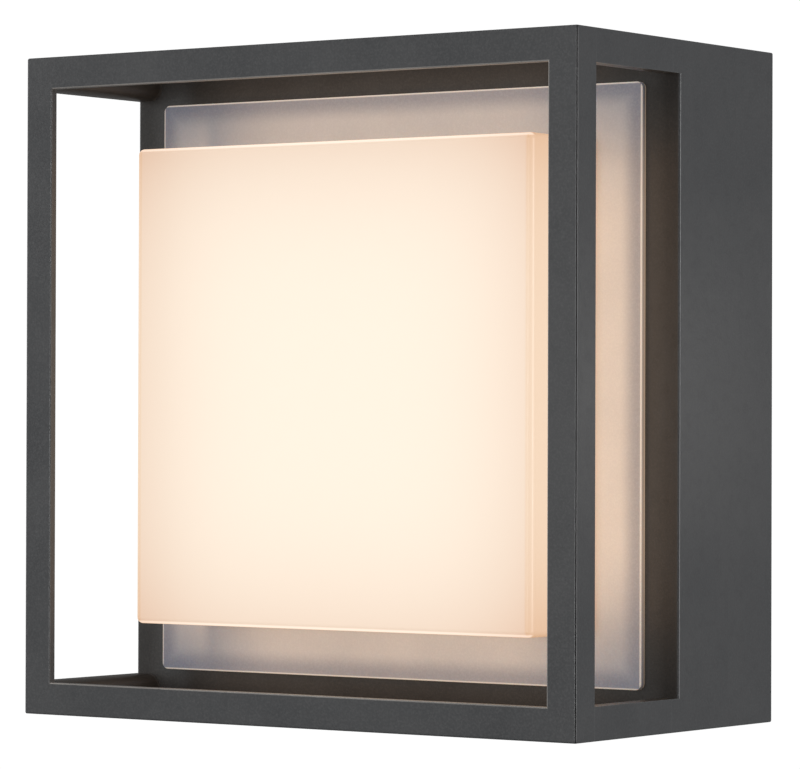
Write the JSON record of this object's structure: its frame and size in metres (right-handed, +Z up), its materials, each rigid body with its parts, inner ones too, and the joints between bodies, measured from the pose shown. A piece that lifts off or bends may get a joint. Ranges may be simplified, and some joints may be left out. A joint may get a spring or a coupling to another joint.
{
  "type": "outdoor wall lantern",
  "caption": "Square outdoor wall lantern: an open metal cage in front of a deep housing, with a glowing opal box on a frosted square plate.",
  "frame": {"origin": "centre of the lantern's back, on the wall plane", "axes": "+Z up, +Y into the wall, so the lantern faces -Y; +X is to its right as seen from the front"},
  "size_m": [0.2, 0.1075, 0.2],
  "materials": {
    "front_frame": "fine-texture powder coat, satin",
    "corner_rail_top_left": "fine-texture powder coat, satin",
    "corner_rail_bottom_left": "fine-texture powder coat, satin",
    "corner_rail_top_right": "fine-texture powder coat, satin",
    "corner_rail_bottom_right": "fine-texture powder coat, satin",
    "housing": "fine-texture powder coat, satin",
    "wall_seal": "closed-cell foam, matt",
    "frosted_plate": "frosted, satin",
    "opal_box": "opal white, semi-gloss, lit from inside",
    "diffuser_gasket": "silicone, matt",
    "reflector_pan": "gloss white enamel",
    "led_board": "white solder mask on aluminium",
    "led_chips": "yellow phosphor",
    "heat_spreader": "mill finish",
    "board_connector": "moulded",
    "gear_plate": "zinc plated",
    "driver_case": "moulded, matt",
    "driver_lid": "moulded, matt",
    "terminal_block": "moulded polyamide",
    "terminal_clamps": "plated",
    "terminal_screws": "zinc plated",
    "terminal_block_screws": "zinc plated",
    "earth_lug": "tinned",
    "earth_washer": "zinc plated",
    "earth_screw": "plain",
    "gear_plate_screws": "zinc plated",
    "driver_screws": "zinc plated",
    "diffuser_screws": "zinc plated",
    "board_screws": "zinc plated",
    "lead_grommets": "moulded, matt",
    "wall_bracket": "zinc plated",
    "cable_grommet": "moulded, matt",
    "clamp_screw_left": "stainless",
    "clamp_screw_right": "stainless",
    "live_wire": "brown insulation",
    "neutral_wire": "blue insulation",
    "earth_wire": "green and yellow insulation",
    "led_lead_positive": "red insulation",
    "led_lead_negative": "black insulation"
  },
  "bodies": {
    "wall_side": {"wall_bracket": "wall_bracket", "cable_grommet": "cable_grommet"},
    "lantern": {"front_frame": "front_frame", "corner_rail_top_left": "corner_rail_top_left", "corner_rail_bottom_left": "corner_rail_bottom_left", "corner_rail_top_right": "corner_rail_top_right", "corner_rail_bottom_right": "corner_rail_bottom_right", "housing": "housing", "wall_seal": "wall_seal", "frosted_plate": "frosted_plate", "opal_box": "opal_box", "diffuser_gasket": "diffuser_gasket", "reflector_pan": "reflector_pan", "led_board": "led_board", "led_chips": "led_chips", "heat_spreader": "heat_spreader", "board_connector": "board_connector", "gear_plate": "gear_plate", "driver_case": "driver_case", "driver_lid": "driver_lid", "terminal_block": "terminal_block", "terminal_clamps": "terminal_clamps", "terminal_screws": "terminal_screws", "terminal_block_screws": "terminal_block_screws", "earth_lug": "earth_lug", "earth_washer": "earth_washer", "earth_screw": "earth_screw", "gear_plate_screws": "gear_plate_screws", "driver_screws": "driver_screws", "diffuser_screws": "diffuser_screws", "board_screws": "board_screws", "lead_grommets": "lead_grommets", "live_wire": "live_wire", "neutral_wire": "neutral_wire", "earth_wire": "earth_wire", "led_lead_positive": "led_lead_positive", "led_lead_negative": "led_lead_negative"},
    "left_clamp_screw": {"clamp_screw_left": "clamp_screw_left"},
    "right_clamp_screw": {"clamp_screw_right": "clamp_screw_right"}
  },
  "joints": [
    {"name": "lantern_off_bracket", "type": "slide", "parent": "wall_side", "child": "lantern", "axis": [0, -1, 0], "range_m": [0, 0.06]},
    {"name": "left_clamp_screw_turn", "type": "hinge", "parent": "lantern", "child": "left_clamp_screw", "pos_m": [-0.035, -0.012, -0.095], "axis": [0, 0, -1], "range_deg": [0, 360]},
    {"name": "right_clamp_screw_turn", "type": "hinge", "parent": "lantern", "child": "right_clamp_screw", "pos_m": [0.035, -0.012, -0.095], "axis": [0, 0, -1], "range_deg": [0, 360]}
  ]
}
